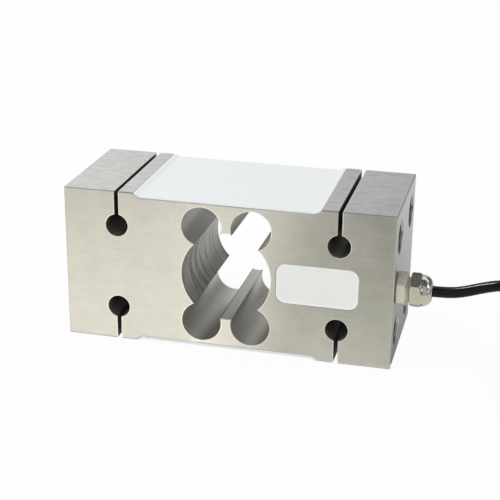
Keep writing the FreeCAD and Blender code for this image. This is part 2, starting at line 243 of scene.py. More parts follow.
def round_edges(piece: Object, wanted: Callable[[Vector, Vector], bool], radius: float,
                facets: int) -> None:
    """Round the edges of a piece that a test accepts.

    Args:
        piece: Piece to round.
        wanted: Test on an edge's middle and direction.
        radius: Radius of the rounding.
        facets: Facets across it.
    """
    with editing(piece) as mesh:
        pick_edges(mesh, wanted)
        bpy.ops.mesh.bevel(offset=radius, segments=facets, profile=0.5, affect="EDGES")


def outward(piece: Object) -> None:
    """Merge double points and turn all faces of a piece outwards.

    Args:
        piece: Piece to mend.
    """
    with editing(piece):
        bpy.ops.mesh.select_all(action="SELECT")
        bpy.ops.mesh.remove_doubles(threshold=MERGE)
        bpy.ops.mesh.normals_make_consistent(inside=False)


def turned(name: str, stations: Sequence[Pair], middle: Pair, sides: int = FINE_ROUND) -> Object:
    """Turn a body about a line along X.

    Args:
        name: Name of the body.
        stations: Place along X and radius of each ring; the first and last are closed.
        middle: Y and Z of the line.
        sides: Number of sides of each ring.

    Returns:
        The body.
    """
    (place, radius), *rest = stations
    deselect()
    bpy.ops.mesh.primitive_circle_add(vertices=sides, radius=radius, fill_type="NGON",
                                      location=(place, *middle), rotation=Axis.X.value)
    body = settle(name)
    with editing(body):
        bpy.ops.mesh.select_mode(type="FACE")
        bpy.ops.mesh.select_all(action="SELECT")
        for next_place, next_radius in rest:
            step = (next_place - place, 0.0, 0.0)
            share = next_radius / radius
            bpy.ops.mesh.extrude_region_move(TRANSFORM_OT_translate={"value": step})
            bpy.ops.transform.resize(value=(1.0, share, share), center_override=(next_place, *middle))
            place, radius = next_place, next_radius
    outward(body)
    return body


def modify(piece: Object, kind: str, **settings: float | str | bool | Object) -> None:
    """Give a piece a modifier and apply it.

    Args:
        piece: Piece to change.
        kind: Blender's name for the kind of modifier.
        settings: Values of the modifier's properties.
    """
    only(piece)
    change = piece.modifiers.new(kind.lower(), kind)
    for name, value in settings.items():
        setattr(change, name, value)
    bpy.ops.object.modifier_apply(modifier=change.name)


def combine(piece: Object, tools: Sequence[Object], how: Cut = Cut.AWAY) -> None:
    """Combine a piece with other bodies, which are used up.

    Args:
        piece: Body that is kept.
        tools: Bodies that are taken away, kept in common or joined on.
        how: Way of combining.
    """
    for tool in tools:
        modify(piece, "BOOLEAN", operation=how.value, solver="EXACT", object=tool)
        discard(tool)


def soften(piece: Object, width: float, facets: int = 2, angle: float = SHARP) -> None:
    """Round the sharp edges of a piece.

    Args:
        piece: Body to soften.
        width: Width of the rounding.
        facets: Facets across the rounding.
        angle: Edges sharper than this many degrees are rounded.
    """
    modify(piece, "BEVEL", width=width, segments=facets, limit_method="ANGLE",
           angle_limit=math.radians(angle), use_clamp_overlap=False)


def shade(piece: Object, angle: float = SHARP) -> None:
    """Shade a piece smooth, with flat faces kept flat.

    Args:
        piece: Piece to shade.
        angle: Edges sharper than this many degrees stay sharp.
    """
    only(piece)
    bpy.ops.object.shade_smooth_by_angle(angle=math.radians(angle))
    modify(piece, "WEIGHTED_NORMAL", keep_sharp=True)


def twin(piece: Object, name: str, move: Matrix) -> Object:
    """Copy a piece with a mesh of its own.

    Args:
        piece: Piece to copy.
        name: Name of the copy.
        move: Move of the copy's mesh.

    Returns:
        The copy.
    """
    copy = piece.copy()
    copy.data = piece.data.copy()
    rename(copy, name)
    bpy.context.scene.collection.objects.link(copy)
    copy.data.transform(move)
    return copy


def join(pieces: Sequence[Object], name: str) -> Object:
    """Join pieces into the first one.

    Args:
        pieces: Pieces to join.
        name: New name of the first one.

    Returns:
        The joined piece.
    """
    first, *others = pieces
    only(first)
    for piece in others:
        piece.select_set(True)
    bpy.ops.object.join()
    rename(first, name)
    return first


def hand_over(piece: Object, slot: str, *nodes: str) -> None:
    """Let a finished piece ride on the part and stand for its solids.

    Args:
        piece: Finished piece.
        slot: Material slot of the part's record; not used.
        nodes: Names of the solids that it replaces.
    """
    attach(piece, BODY)
    if nodes:
        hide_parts(*nodes)
    log.info("%s stands for %s", piece.name, ", ".join(nodes) or "nothing else")


# Shader nodes


def preset(node: Node, values: dict[str, float | Sequence[float]]) -> None:
    """Set a node's inputs by their names."""
    for name, value in values.items():
        node.inputs[name].default_value = value


def reckon(tree: Tree, operation: str, *values: Socket | float) -> Socket:
    """Add a step of arithmetic to a node tree.

    Args:
        tree: Tree that gets the step.
        operation: Blender's name for the kind of step.
        values: Sockets or numbers that it works on.

    Returns:
        The socket of its result.
    """
    step = tree.nodes.new("ShaderNodeMath")
    step.operation = operation
    for place, value in zip(step.inputs, values):
        if isinstance(value, Socket):
            tree.links.new(value, place)
        else:
            place.default_value = value
    return step.outputs["Value"]


# Finishes

# Fineness of the noise, and how far its tone takes a colour down and up
NOISE_DETAIL = 3.0
TONE_SPAN = 0.5

# Roughness of lacquer, and how far light of each colour goes under a white surface
COAT_ROUGHNESS = 0.1
SCATTER_COLOUR = (1.0, 0.95, 0.9)
SCATTER_DEPTH = 0.001


@dataclass(frozen=True)
class Grain:
    """Noise in a finish, stretched where its scale is low; a line width keeps thin lines of it."""

    scale: Triple
    tone: float = 0.0
    rough: float = 0.0
    relief: float = 0.0
    line: float = 0.0

    def noise(self, tree: Tree, place: Socket) -> Socket:
        """Add the noise, centred on zero, or its lines as ones on zero.

        Args:
            tree: Tree of the material that gets the noise.
            place: Socket of the place on the piece.

        Returns:
            The noise's socket.
        """
        stretch = tree.nodes.new("ShaderNodeMapping")
        stretch.inputs["Scale"].default_value = self.scale
        noise = tree.nodes.new("ShaderNodeTexNoise")
        preset(noise, {"Scale": 1.0, "Detail": NOISE_DETAIL})
        tree.links.new(place, stretch.inputs["Vector"])
        tree.links.new(stretch.outputs["Vector"], noise.inputs["Vector"])
        centred = reckon(tree, "SUBTRACT", noise.outputs["Fac"], 0.5)
        if not self.line:
            return centred
        thin = tree.nodes.new("ShaderNodeMapRange")
        preset(thin, {"From Max": self.line, "To Min": 1.0, "To Max": 0.0})
        tree.links.new(reckon(tree, "ABSOLUTE", centred), thin.inputs["Value"])
        return thin.outputs["Result"]


@dataclass(frozen=True)
class Finish:
    """Surface of one material, varied by its grains."""

    name: str
    colour: Triple
    roughness: float
    grains: tuple[Grain, ...]
    metallic: float = 0.0
    specular: float = 0.5
    coat: float = 0.0
    scatter: float = 0.0

    def material(self) -> Material:
        """Make the finish's node material, or find it where it is made already.

        Returns:
            The material.
        """
        made = bpy.data.materials.get(self.name)
        if made:
            return made
        made = bpy.data.materials.new(self.name)
        made.use_nodes = True
        made.diffuse_color = (*self.colour, 1.0)
        tree = made.node_tree
        shader = tree.nodes["Principled BSDF"]
        preset(shader, {"Metallic": self.metallic, "Specular IOR Level": self.specular,
                        "Coat Weight": self.coat, "Coat Roughness": COAT_ROUGHNESS})
        if self.scatter:
            preset(shader, {"Subsurface Weight": self.scatter, "Subsurface Radius": SCATTER_COLOUR,
                            "Subsurface Scale": SCATTER_DEPTH})
        self._vary(tree, shader)
        return made

    def _vary(self, tree: Tree, shader: Node) -> None:
        """Let the grains vary the colour, the roughness and the relief.

        Args:
            tree: Tree of the material.
            shader: Its shader.
        """
        place = tree.nodes.new("ShaderNodeTexCoord").outputs["Object"]
        waves = [grain.noise(tree, place) for grain in self.grains]
        tone = self._sum(tree, waves, [grain.tone for grain in self.grains], 0.5)
        rough = self._sum(tree, waves, [grain.rough for grain in self.grains], self.roughness)
        height = self._sum(tree, waves, [grain.relief for grain in self.grains], 0.0)
        if tone:
            mix = tree.nodes.new("ShaderNodeMix")
            mix.data_type = "RGBA"
            preset(mix, {"A": (*((1.0 - TONE_SPAN) * part for part in self.colour), 1.0),
                         "B": (*((1.0 + TONE_SPAN) * part for part in self.colour), 1.0)})
            tree.links.new(tone, mix.inputs["Factor"])
            tree.links.new(mix.outputs["Result"], shader.inputs["Base Color"])
        else:
            shader.inputs["Base Color"].default_value = (*self.colour, 1.0)
        if rough:
            tree.links.new(rough, shader.inputs["Roughness"])
        else:
            shader.inputs["Roughness"].default_value = self.roughness
        if height:
            bump = tree.nodes.new("ShaderNodeBump")
            bump.inputs["Distance"].default_value = 1.0
            tree.links.new(height, bump.inputs["Height"])
            tree.links.new(bump.outputs["Normal"], shader.inputs["Normal"])

    @staticmethod
    def _sum(tree: Tree, waves: Sequence[Socket], shares: Sequence[float], base: float) -> Socket | None:
        """Add up shares of the noises on a base value.

        Args:
            tree: Tree that gets the nodes.
            waves: Noises centred on zero.
            shares: Share of each noise.
            base: Value in the middle.

        Returns:
            The sum's socket, or nothing where all shares are zero.
        """
        total = None
        for wave, share in zip(waves, shares):
            if share:
                total = reckon(tree, "MULTIPLY_ADD", wave, share, total or base)
        return total


def even(scale: float) -> Triple:
    """Scale of a grain that isn't stretched."""
    return (scale, scale, scale)


def sleeve(name: str, colour: Triple) -> Finish:
    """Finish of a coloured wire sleeve."""
    return Finish(name, colour, 0.38, (Grain(even(1300.0), tone=0.06, rough=0.08, relief=4e-6),))


# Steel of the beam
STEEL = (0.62, 0.617, 0.60)
MOTTLE = Grain(even(28.0), tone=0.22, rough=0.10)
BLOTCH = Grain(even(150.0), tone=0.22, rough=0.10)
EDGE_GRAINS = (MOTTLE, Grain(even(300.0), tone=0.3, rough=0.10))
SAW_GRAINS = (MOTTLE, Grain((600.0, 80.0, 2200.0), tone=0.6, rough=0.2, relief=5e-6))
GROUND = Finish("ground_steel", STEEL, 0.40, (
    MOTTLE,
    BLOTCH,
    Grain((120.0, 900.0, 900.0), tone=0.9, rough=0.20, relief=5e-6),
    Grain((700.0, 2200.0, 2200.0), tone=0.8, relief=3e-6),
), metallic=1.0)
MILLED = Finish("milled_steel", STEEL, 0.40, (
    MOTTLE,
    BLOTCH,
    Grain((60.0, 1200.0, 1200.0), tone=0.26, rough=0.12, relief=3e-6),
    Grain((900.0, 1800.0, 1800.0), tone=0.22, relief=2e-6),
), metallic=1.0)
# Edge breaks coloured darker than the faces: painted shade
EDGES = Finish("broken_edge_painted_shade", (0.32, 0.32, 0.305), 0.34, EDGE_GRAINS, metallic=1.0)
# Edge breaks at hole and slot mouths coloured near white: painted highlight
EDGE_HIGHLIGHTS = Finish("edge_painted_highlight", (0.90, 0.89, 0.86), 0.42, EDGE_GRAINS, metallic=1.0)
# Upright corners and recess edges, paler and duller than the steel: painted soft light
EDGE_SOFT_LIGHT = Finish("edge_painted_soft_light", (0.55, 0.548, 0.53), 0.50, EDGE_GRAINS, metallic=0.4)
# Bore walls: cutter marks on a colour darkened below the steel's as painted shade
BORED_AND_SHADED = Finish("bored_steel_painted_shade", (0.42, 0.416, 0.396), 0.50, (
    MOTTLE,
    Grain((10.0, 240.0, 10.0), tone=-1.5, rough=0.10, relief=-1.2e-5, line=0.022),
    Grain((25.0, 420.0, 25.0), tone=0.45, rough=0.20, relief=6e-6),
    Grain((80.0, 2600.0, 80.0), tone=0.25, relief=4e-6),
), metallic=1.0)
# Lobe walls; the same lighter finish also goes on the bore's wall where it faces straight up or down, as
# painted light
REAMED_AND_LIT = Finish("reamed_steel_painted_light", (0.56, 0.553, 0.517), 0.50, (
    MOTTLE, Grain((60.0, 1500.0, 60.0), tone=0.35, rough=0.15, relief=3e-6)), metallic=1.0)
SAWN = Finish("sawn_steel", (0.26, 0.245, 0.22), 0.5, SAW_GRAINS, metallic=0.8)
SLIT = Finish("slit_steel", (0.07, 0.066, 0.06), 0.6, SAW_GRAINS, metallic=0.5)
THREADED = Finish("threaded_steel", (0.30, 0.295, 0.28), 0.34, (
    MOTTLE, Grain((1500.0, 300.0, 300.0), tone=0.3, rough=0.15, relief=4e-6)), metallic=1.0)
BEAM_FINISHES = (
    GROUND, MILLED, EDGES, EDGE_HIGHLIGHTS, EDGE_SOFT_LIGHT, BORED_AND_SHADED, REAMED_AND_LIT, SAWN, SLIT, THREADED)

# Plate, rubber and poured compound
PLATE_MOTTLE = Grain(even(140.0), tone=0.10, rough=0.06)
NICKEL = Finish("nickel_plate", (0.74, 0.735, 0.68), 0.17, (
    PLATE_MOTTLE, Grain((1800.0, 900.0, 900.0), tone=0.22, rough=0.08, relief=2e-6)), metallic=1.0)
DULL_NICKEL = Finish("dull_nickel_plate", (0.92, 0.90, 0.825), 0.56, (
    PLATE_MOTTLE, Grain(even(1600.0), tone=0.5, rough=0.08, relief=4e-6)), metallic=1.0)
COVER = Finish("cover_silicone", (0.84, 0.87, 0.88), 0.46, (
    Grain(even(35.0), tone=0.03, rough=0.06),
    Grain(even(900.0), rough=0.08, relief=6e-6)), scatter=0.15)
POURED_GRAINS = (
    Grain(even(90.0), tone=0.05, rough=0.06, relief=3e-5),
    Grain(even(1200.0), rough=0.06, relief=4e-6))
POTTING = Finish("potting_compound", (0.87, 0.89, 0.85), 0.30, POURED_GRAINS, scatter=0.25)
# Drawn-up rim of the compound coloured whiter: painted highlight
POTTING_RIM_HIGHLIGHT = Finish("potting_rim_painted_highlight", (0.97, 0.975, 0.96), 0.30, POURED_GRAINS, scatter=0.25)
RUBBER_GRAINS = (Grain(even(1100.0), tone=0.25, rough=0.1, relief=8e-6),)
SEAL_RUBBER = Finish("black_rubber", (0.022, 0.022, 0.022), 0.62, RUBBER_GRAINS)
# The gasket's black rubber coloured mid grey: painted light
LIT_GASKET_RUBBER = Finish("gasket_rubber_painted_light", (0.24, 0.235, 0.205), 0.62, RUBBER_GRAINS)
CLAW_NYLON = Finish("ivory_nylon", (0.72, 0.70, 0.64), 0.42, (
    Grain(even(700.0), tone=0.04, rough=0.08, relief=6e-6),), scatter=0.1)

# Cable, gauges and board
JACKET = Finish("jacket_vinyl", (0.008, 0.008, 0.009), 0.14, (
    Grain(even(120.0), tone=0.2, rough=0.06),
    Grain(even(1500.0), rough=0.06, relief=3e-6)), specular=0.2)
TIE_NYLON = Finish("strap_nylon", (0.03, 0.03, 0.032), 0.45, (
    Grain(even(900.0), tone=0.2, rough=0.1, relief=6e-6),))
GAUGE_FILM = Finish("amber_film", (0.52, 0.30, 0.10), 0.32, (
    Grain((40.0, 2200.0, 40.0), tone=0.5, rough=0.12, relief=3e-6),), coat=0.4)
COPPER = Finish("bare_copper", (0.80, 0.44, 0.27), 0.30, (
    Grain(even(700.0), tone=0.12, rough=0.12, relief=3e-6),), metallic=1.0)
BOARD = Finish("board_lacquer", (0.03, 0.19, 0.06), 0.36, (
    Grain((1600.0, 300.0, 1600.0), tone=0.2, rough=0.08, relief=5e-6),), coat=0.3)
RESISTOR = Finish("resistor_body", (0.03, 0.03, 0.034), 0.40, (
    Grain(even(1500.0), tone=0.25, rough=0.1, relief=4e-6),))
TINNED = Finish("tinned_wire", (0.72, 0.71, 0.68), 0.32, (
    Grain((300.0, 2600.0, 2600.0), tone=0.15, rough=0.12, relief=1e-5),), metallic=1.0)
BRIDGE_SLEEVE = sleeve("buff_sleeve", (0.55, 0.50, 0.40))
CORE_SLEEVES = {
    "red": sleeve("red_sleeve", (0.52, 0.025, 0.02)),
    "black": sleeve("black_sleeve", (0.016, 0.016, 0.017)),
    "green": sleeve("green_sleeve", (0.03, 0.27, 0.07)),
    "white": sleeve("white_sleeve", (0.78, 0.78, 0.75)),
}


def dress(piece: Object, *finishes: Finish) -> None:
    """Give a piece its finishes.

    Args:
        piece: Piece to dress.
        finishes: Finishes, one to a material slot, in order.
    """
    piece.data.materials.clear()
    for finish in finishes:
        piece.data.materials.append(finish.material())


def dress_node(name: str, finish: Finish) -> None:
    """Give a solid that stays in view its finish.

    Args:
        name: Name of the solid.
        finish: Its finish.
    """
    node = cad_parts[name]
    node.material_slots[0].material = finish.material()
    log.info("%s keeps its solid in %s", name, finish.name)


# Camera


@dataclass
class Viewpoint:
    """Camera at the photograph's view, with its angles in degrees."""

    azimuth: float = 13.7776
    elevation: float = 21.2544
    roll: float = 0.6314
    distance: float = 0.6685
    aside: float = 0.00379
    lift: float = 0.00774
    target: Triple = (0.0, 0.0, 0.034)
    focal_pixels: float = 1262.07
    sensor: float = 36.0

    def place(self) -> None:
        """Add the camera and make it the scene's own."""
        turn, rise, roll = (math.radians(angle) for angle in (self.azimuth, self.elevation, self.roll))
        back = Matrix.Rotation(turn, 3, "Z") @ Vector((0.0, -math.cos(rise), math.sin(rise)))
        right = Vector((math.cos(turn), math.sin(turn), 0.0))
        up = back.cross(right)
        spot = Vector(self.target) + back * self.distance + right * self.aside + up * self.lift
        rolled_right = right * math.cos(roll) + up * math.sin(roll)
        rolled_up = up * math.cos(roll) - right * math.sin(roll)
        deselect()
        bpy.ops.object.camera_add()
        camera = bpy.context.active_object
        camera.name = "camera"
        axes = Matrix((rolled_right, rolled_up, back)).transposed()
        camera.matrix_world = Matrix.Translation(spot) @ axes.to_4x4()
        camera.data.sensor_width = self.sensor
        camera.data.lens = self.focal_pixels / PIXELS * self.sensor
        bpy.context.scene.camera = camera
        log.info("camera at %s", [round(part, 4) for part in spot])


# Cable

# Order and steps of a smooth line's spline, and how finely its round is divided
SPLINE_ORDER = 3
SPLINE_STEPS = 5
SPLINE_ROUND = 7


def smooth_line(name: str, route: Sequence[Sequence[float]], thick: float) -> Object:
    """Add a round line through a route's points as one smooth spline.

    Args:
        name: Name of the line.
        route: Control points.
        thick: Diameter.

    Returns:
        The curve.
    """
    curve = bpy.data.curves.new(name, "CURVE")
    curve.dimensions = "3D"
    spline = curve.splines.new("NURBS")
    spline.points.add(len(route) - 1)
    for point, spot in zip(spline.points, route):
        point.co = (*spot, 1.0)
    spline.order_u = SPLINE_ORDER
    spline.use_endpoint_u = True
    curve.resolution_u = SPLINE_STEPS
    curve.bevel_depth = thick / 2
    curve.bevel_resolution = SPLINE_ROUND
    curve.use_fill_caps = True
    line = bpy.data.objects.new(name, curve)
    bpy.context.scene.collection.objects.link(line)
    return line


@dataclass
class CableEnd:
    """Stripped leads at the cable's loose end, each with its corner in the jacket and its angle."""

    start: Triple
    before: Triple
    offset: float = 0.0010
    runs: Triple = (0.011, 0.014, 0.013)
    core: float = 0.0012
    drain: float = 0.0004
    layout: tuple[tuple[str, int, int, float], ...] = (
        ("red", 1, 1, 16.0), ("black", 1, -1, 8.0), ("drain", 0, 0, 0.5),
        ("green", -1, 1, -7.0), ("white", -1, -1, -14.0),
    )

    def build(self) -> list[Object]:
        """Lay the leads out from the jacket's end down to the surface.

        Returns:
            The leads.
        """
        end = Vector(self.start)
        heading = (end - Vector(self.before)).normalized()
        across = Vector((-heading.y, heading.x, 0.0))
        leads = []
        for colour, side, level, angle in self.layout:
            thick = self.drain if colour == "drain" else self.core
            first = end + across * (side * self.offset) + Vector((0.0, 0.0, level * self.offset))
            route = self._route(first, heading, math.radians(angle), thick)
            leads.append(self._lead(colour, route, thick))
        return leads

    def _route(self, first: Vector, heading: Vector, angle: float, thick: float) -> list[Vector]:
        """Points of one lead.

        Args:
            first: Where it leaves the jacket.
            heading: Direction of the jacket's end.
            angle: Turn away from that direction, in radians.
            thick: Diameter.

        Returns:
            The points, the last ones on the surface.
        """
        out, aside, last_run = self.runs
        aslant = Matrix.Rotation(angle, 3, "Z") @ heading
        second = first + heading * out
        third = second + aslant * aside
        third.z = thick / 2
        last = third + Matrix.Rotation(-angle / 2, 3, "Z") @ aslant * last_run
        return [first, second, third, last]

    def _lead(self, colour: str, route: Sequence[Vector], thick: float) -> Object:
        """Make one lead as a smooth round wire.

        Args:
            colour: Colour of its sleeve, or drain for the bare one.
            route: Its points.
            thick: Diameter.

        Returns:
            The lead.
        """
        bare = colour == "drain"
        lead = smooth_line(colour + "_lead", route, thick)
        dress(lead, TINNED if bare else CORE_SLEEVES[colour])
        hand_over(lead, "tinned_copper" if bare else "core_" + colour, "lead_" + colour)
        return lead


@dataclass
class SensorCable:
    """Cable from the gland to its coil, with the loose end beside the coil."""

    diameter: float = 0.0056
    length: float = 3.0
    run: tuple[Triple, ...] = (
        (0.1026, -0.0250, 0.0405), (0.1104, -0.0250, 0.0405), (0.1178, -0.02325, 0.0412),
        (0.1255, -0.0196, 0.0425), (0.1357, -0.0130, 0.0427), (0.1482, -0.0045, 0.0384),
        (0.1619, 0.0034, 0.0290), (0.1746, 0.0111, 0.0239),
    )
    tail: tuple[Triple, ...] = (
        (0.1455, -0.0069, 0.0034), (0.1550, 0.0095, 0.0028), (0.1687, 0.0187, 0.0028),
        (0.1835, 0.0208, 0.0028),
    )
    coil_middle: Pair = COIL_MIDDLE
    inner_turn: float = 0.0227
    outer_turn: float = 0.0415
    layers: tuple[float, ...] = (0.0211, 0.0154, 0.0097, 0.0040)
    first_angle: float = 87.3
    layer_turns: float = 3.1765
    step_turns: float = 0.35
    points_per_turn: int = 20
    cable: Object | None = field(default=None, init=False)
    leads: list[Object] = field(default_factory=list, init=False)

    def build(self) -> None:
        """Make the cable as one smooth line, with its leads; the steel doesn't mirror it."""
        route = [*self.run, *self._turns(), *self.tail]
        self.cable = smooth_line("signal_cable", route, self.diameter)
        self.cable.visible_glossy = False
        dress(self.cable, JACKET)
        hand_over(self.cable, "cable_jacket", "cable_run", "cable_coil", "cable_tail")
        self.leads = CableEnd(self.tail[-1], self.tail[-2]).build()

    def _turns(self) -> list[Triple]:
        """Wind the coil in and out in layers, from the top down.

        Returns:
            Its control points, set out so far that the curve between them has the coil's radius.
        """
        total = len(self.layers) * self.layer_turns + (len(self.layers) - 1) * self.step_turns
        count = round(total * self.points_per_turn)
        swell = 1 / math.cos(math.pi / self.points_per_turn)
        points = []
        for index in range(count + 1):
            turns = total * index / count
            radius, height = self._place(turns)
            angle = math.radians(self.first_angle - 360 * turns)
            points.append((self.coil_middle[0] + radius * swell * math.cos(angle),
                           self.coil_middle[1] + radius * swell * math.sin(angle), height))
        return points

    def _place(self, turns: float) -> Pair:
        """Place in the coil after a number of turns.

        Args:
            turns: Turns from the coil's start.

        Returns:
            Radius and height.
        """
        span = self.layer_turns + self.step_turns
        layer = min(int(turns / span), len(self.layers) - 1)
        share = (turns - layer * span) / self.layer_turns
        inward = layer % 2 == 0
        start, end = (self.outer_turn, self.inner_turn) if inward else (self.inner_turn, self.outer_turn)
        if share <= 1 or layer == len(self.layers) - 1:
            return start + (end - start) * min(share, 1.0), self.layers[layer]
        drop = (share - 1) * self.layer_turns / self.step_turns
        eased = drop * drop * (3 - 2 * drop)
        return end, self.layers[layer] + (self.layers[layer + 1] - self.layers[layer]) * eased


@dataclass
class CoilTies:
    """Two straps that hold the coil, each with its locking head on top."""

    coil_middle: Pair = COIL_MIDDLE
    inner: float = 0.0199
    outer: float = 0.0443
    low: float = 0.0012
    high: float = 0.0239
    corner: float = 0.0026
    corner_facets: int = 6
    thick: float = 0.0012
    width: float = 0.0046
    strap_edge: float = 0.0002
    head: Triple = (0.0054, 0.0064, 0.0032)
    head_edge: float = 0.0004
    slot_wall: float = 0.0009
    slot_depth: float = 0.0008
    stub: float = 0.0045
    stub_lap: float = 0.0006
    stub_lift: float = 0.0002
    stub_edge: float = 0.0003
    angles: tuple[tuple[str, float], ...] = (("front", -115.0), ("back", 50.0))

    def build(self) -> list[Object]:
        """Make one tie and copy it to its places.

        Returns:
            The ties.
        """
        pattern = join([self._strap(), self._head()], "tie_pattern")
        shade(pattern)
        dress(pattern, TIE_NYLON)
        middle = Matrix.Translation((*self.coil_middle, 0.0))
        ties = []
        for side, angle in self.angles:
            turn = Matrix.Rotation(math.radians(angle), 4, "Z")
            tie = twin(pattern, "cable_tie_" + side, middle @ turn)
            hand_over(tie, "tie_nylon", "coil_tie_" + side)
            ties.append(tie)
        discard(pattern)
        return ties

    def _strap(self) -> Object:
        """Make the strap round the bundle, as a rounded loop.

        Returns:
            The strap.
        """
        half = self.width / 2
        strap = add_box("strap", (self.inner, -half, self.low), (self.outer, half, self.high))
        round_edges(strap, lambda middle, along: abs(along.y) > ALONG, self.corner, self.corner_facets)
        with editing(strap) as mesh:
            pick_faces(mesh, lambda face: abs(face.normal.y) > ALONG)
            bpy.ops.mesh.delete(type="FACE")
        modify(strap, "SOLIDIFY", thickness=self.thick, offset=1.0)
        soften(strap, self.strap_edge)
        return strap

    def _head(self) -> Object:
        """Make the locking head with its slot and the strap's short end.

        Returns:
            The head.
        """
        long, wide, tall = self.head
        middle = (self.inner + self.outer) / 2
        top = self.high + self.thick
        head = add_box("head", (middle - long / 2, -wide / 2, top - self.thick / 2),
                       (middle + long / 2, wide / 2, top + tall))
        with editing(head) as mesh:
            pick_faces(mesh, lambda face: face.normal.z > ALONG)
            bpy.ops.mesh.inset(thickness=self.slot_wall)
            bpy.ops.mesh.extrude_region_move(
                TRANSFORM_OT_translate={"value": (0.0, 0.0, -self.slot_depth)})
        soften(head, self.head_edge)
        half = self.width / 2 - self.stub_edge
        low = top + self.stub_lift
        stub = add_box("stub", (middle + long / 2 - self.stub_lap, -half, low),
                       (middle + long / 2 + self.stub, half, low + self.thick))
        soften(stub, self.stub_edge)
        return join([head, stub], "head")


# Beam

# Share of a thread's pitch that the foot of its ridge takes up
RIDGE_FOOT = 0.96

# Width and height of a triangle whose corners lie on a circle of radius one
TRIANGLE = (math.sqrt(3.0), 1.5)


def ridge(name: str, root: float, crest: float, pitch: float, turns: int, start: float) -> Object:
    """Helical thread ridge about the X line through the origin.

    Args:
        name: Name of the ridge.
        root: Radius of its foot.
        crest: Radius of its top.
        pitch: Advance in each turn.
        turns: Number of turns.
        start: Place along X where it starts.

    Returns:
        The ridge.
    """
    deselect()
    bpy.ops.mesh.primitive_circle_add(vertices=3, radius=1.0, fill_type="NOTHING")
    body = settle(name)
    tall = crest - root
    wide, high = TRIANGLE
    with editing(body):
        bpy.ops.mesh.select_all(action="SELECT")
        bpy.ops.transform.resize(value=(RIDGE_FOOT * pitch / wide, tall / high, 1.0),
                                 center_override=ORIGIN)
        bpy.ops.transform.translate(value=(start, root + tall / 3, 0.0))
    modify(body, "SCREW", axis="X", screw_offset=pitch, iterations=turns, steps=SMALL_ROUND,
           render_steps=SMALL_ROUND)
    with editing(body):
        bpy.ops.mesh.select_all(action="SELECT")
        bpy.ops.mesh.remove_doubles(threshold=MERGE)
        bpy.ops.mesh.fill_holes(sides=3)
        bpy.ops.mesh.normals_make_consistent(inside=False)
    shade(body)
    return body


def upside_down(height: float) -> Matrix:
    """Turn that lays what is on the beam's top onto its underside."""
    return Matrix.Translation((0.0, 0.0, height)) @ Matrix.Rotation(math.pi, 4, "X")


@dataclass(frozen=True)
class Recess:
    """Shallow gauge recess in the top: a flat floor between two hollow ends."""

    floor: float = 0.0785
    floor_half: float = 0.04377
    hollow: float = 0.0050
    hollow_facets: int = 16
    half_depth: float = HALF_DEPTH
    above: float = 0.0020

    def form(self, name: str, overrun: float) -> Object:
        """Body that fills the recess.

        Args:
            name: Name of the body.
            overrun: Length past the front and back faces.

        Returns:
            The body.
        """
        reach = self.floor_half + self.hollow
        side = self.half_depth + overrun
        top = self.floor + self.hollow + self.above
        body = add_box(name, (-reach, -side, self.floor), (reach, side, top))
        round_edges(body, lambda middle, along: abs(along.y) > ALONG and middle.z < self.floor + SAME,
                    self.hollow, self.hollow_facets)
        return body


@dataclass(frozen=True)
class Pocket:
    """Wiring pocket in the front face, with rounded corners."""

    left: float = 0.02595
    right: float = 0.06745
    low: float = 0.0300
    high: float = 0.0510
    floor: float = -0.0170
    corner: float = 0.00475
    corner_facets: int = 12

    def form(self, name: str, front: float) -> Object:
        """Body that fills the pocket from a plane near the front to its floor.

        Args:
            name: Name of the body.
            front: Y of the plane.

        Returns:
            The body.
        """
        body = add_box(name, (self.left, front, self.low), (self.right, self.floor, self.high))
        round_edges(body, lambda middle, along: abs(along.y) > ALONG, self.corner, self.corner_facets)
        return body


@dataclass(frozen=True)
class EndHoles:
    """Tapped mounting holes, four in each end."""

    radius: float = 0.0080
    depth: float = 0.0160
    point: float = 0.0048
    tip: float = 0.0002
    aside: float = 0.0200
    heights: Pair = (0.0155, 0.0655)
    end: float = HALF_LENGTH
    mouth: float = 0.0010
    overrun: float = 0.0010
    crest: float = 0.00692
    root: float = 0.0082
    pitch: float = 0.0020
    turns: int = 7

    def places(self) -> list[tuple[str, Matrix]]:
        """List the holes.

        Returns:
            Name and move of each one, from a hole that opens to +X at the origin.
        """
        spots = []
        for end, side in (("live", 1), ("fixed", -1)):
            turn = Matrix.Rotation(0.0 if side > 0 else math.pi, 4, "Z")
            for level, height in zip(("lower", "upper"), self.heights):
                for face, across in (("front", -self.aside), ("back", self.aside)):
                    move = Matrix.Translation((side * self.end, across, height)) @ turn
                    spots.append(("_".join((end, level, face)), move))
        return spots

    def drills(self) -> list[Object]:
        """Make the bodies of the holes, with a broken mouth and a drilled point.

        Returns:
            The bodies.
        """
        pattern = turned("drill", [
            (self.overrun, self.radius + self.mouth + self.overrun), (-self.mouth, self.radius),
            (-self.depth, self.radius), (-self.depth - self.point, self.tip),
        ], (0.0, 0.0), SMALL_ROUND)
        drills = [twin(pattern, "drill_" + name, move) for name, move in self.places()]
        discard(pattern)
        return drills

    def threads(self) -> None:
        """Put the ridges of a thread in each hole."""
        start = -self.turns * self.pitch - self.pitch / 2
        pattern = ridge("thread_pattern", self.root, self.crest, self.pitch, self.turns, start)
        dress(pattern, THREADED)
        for name, move in self.places():
            hand_over(twin(pattern, "thread_" + name, move), "beam_metal")
        discard(pattern)


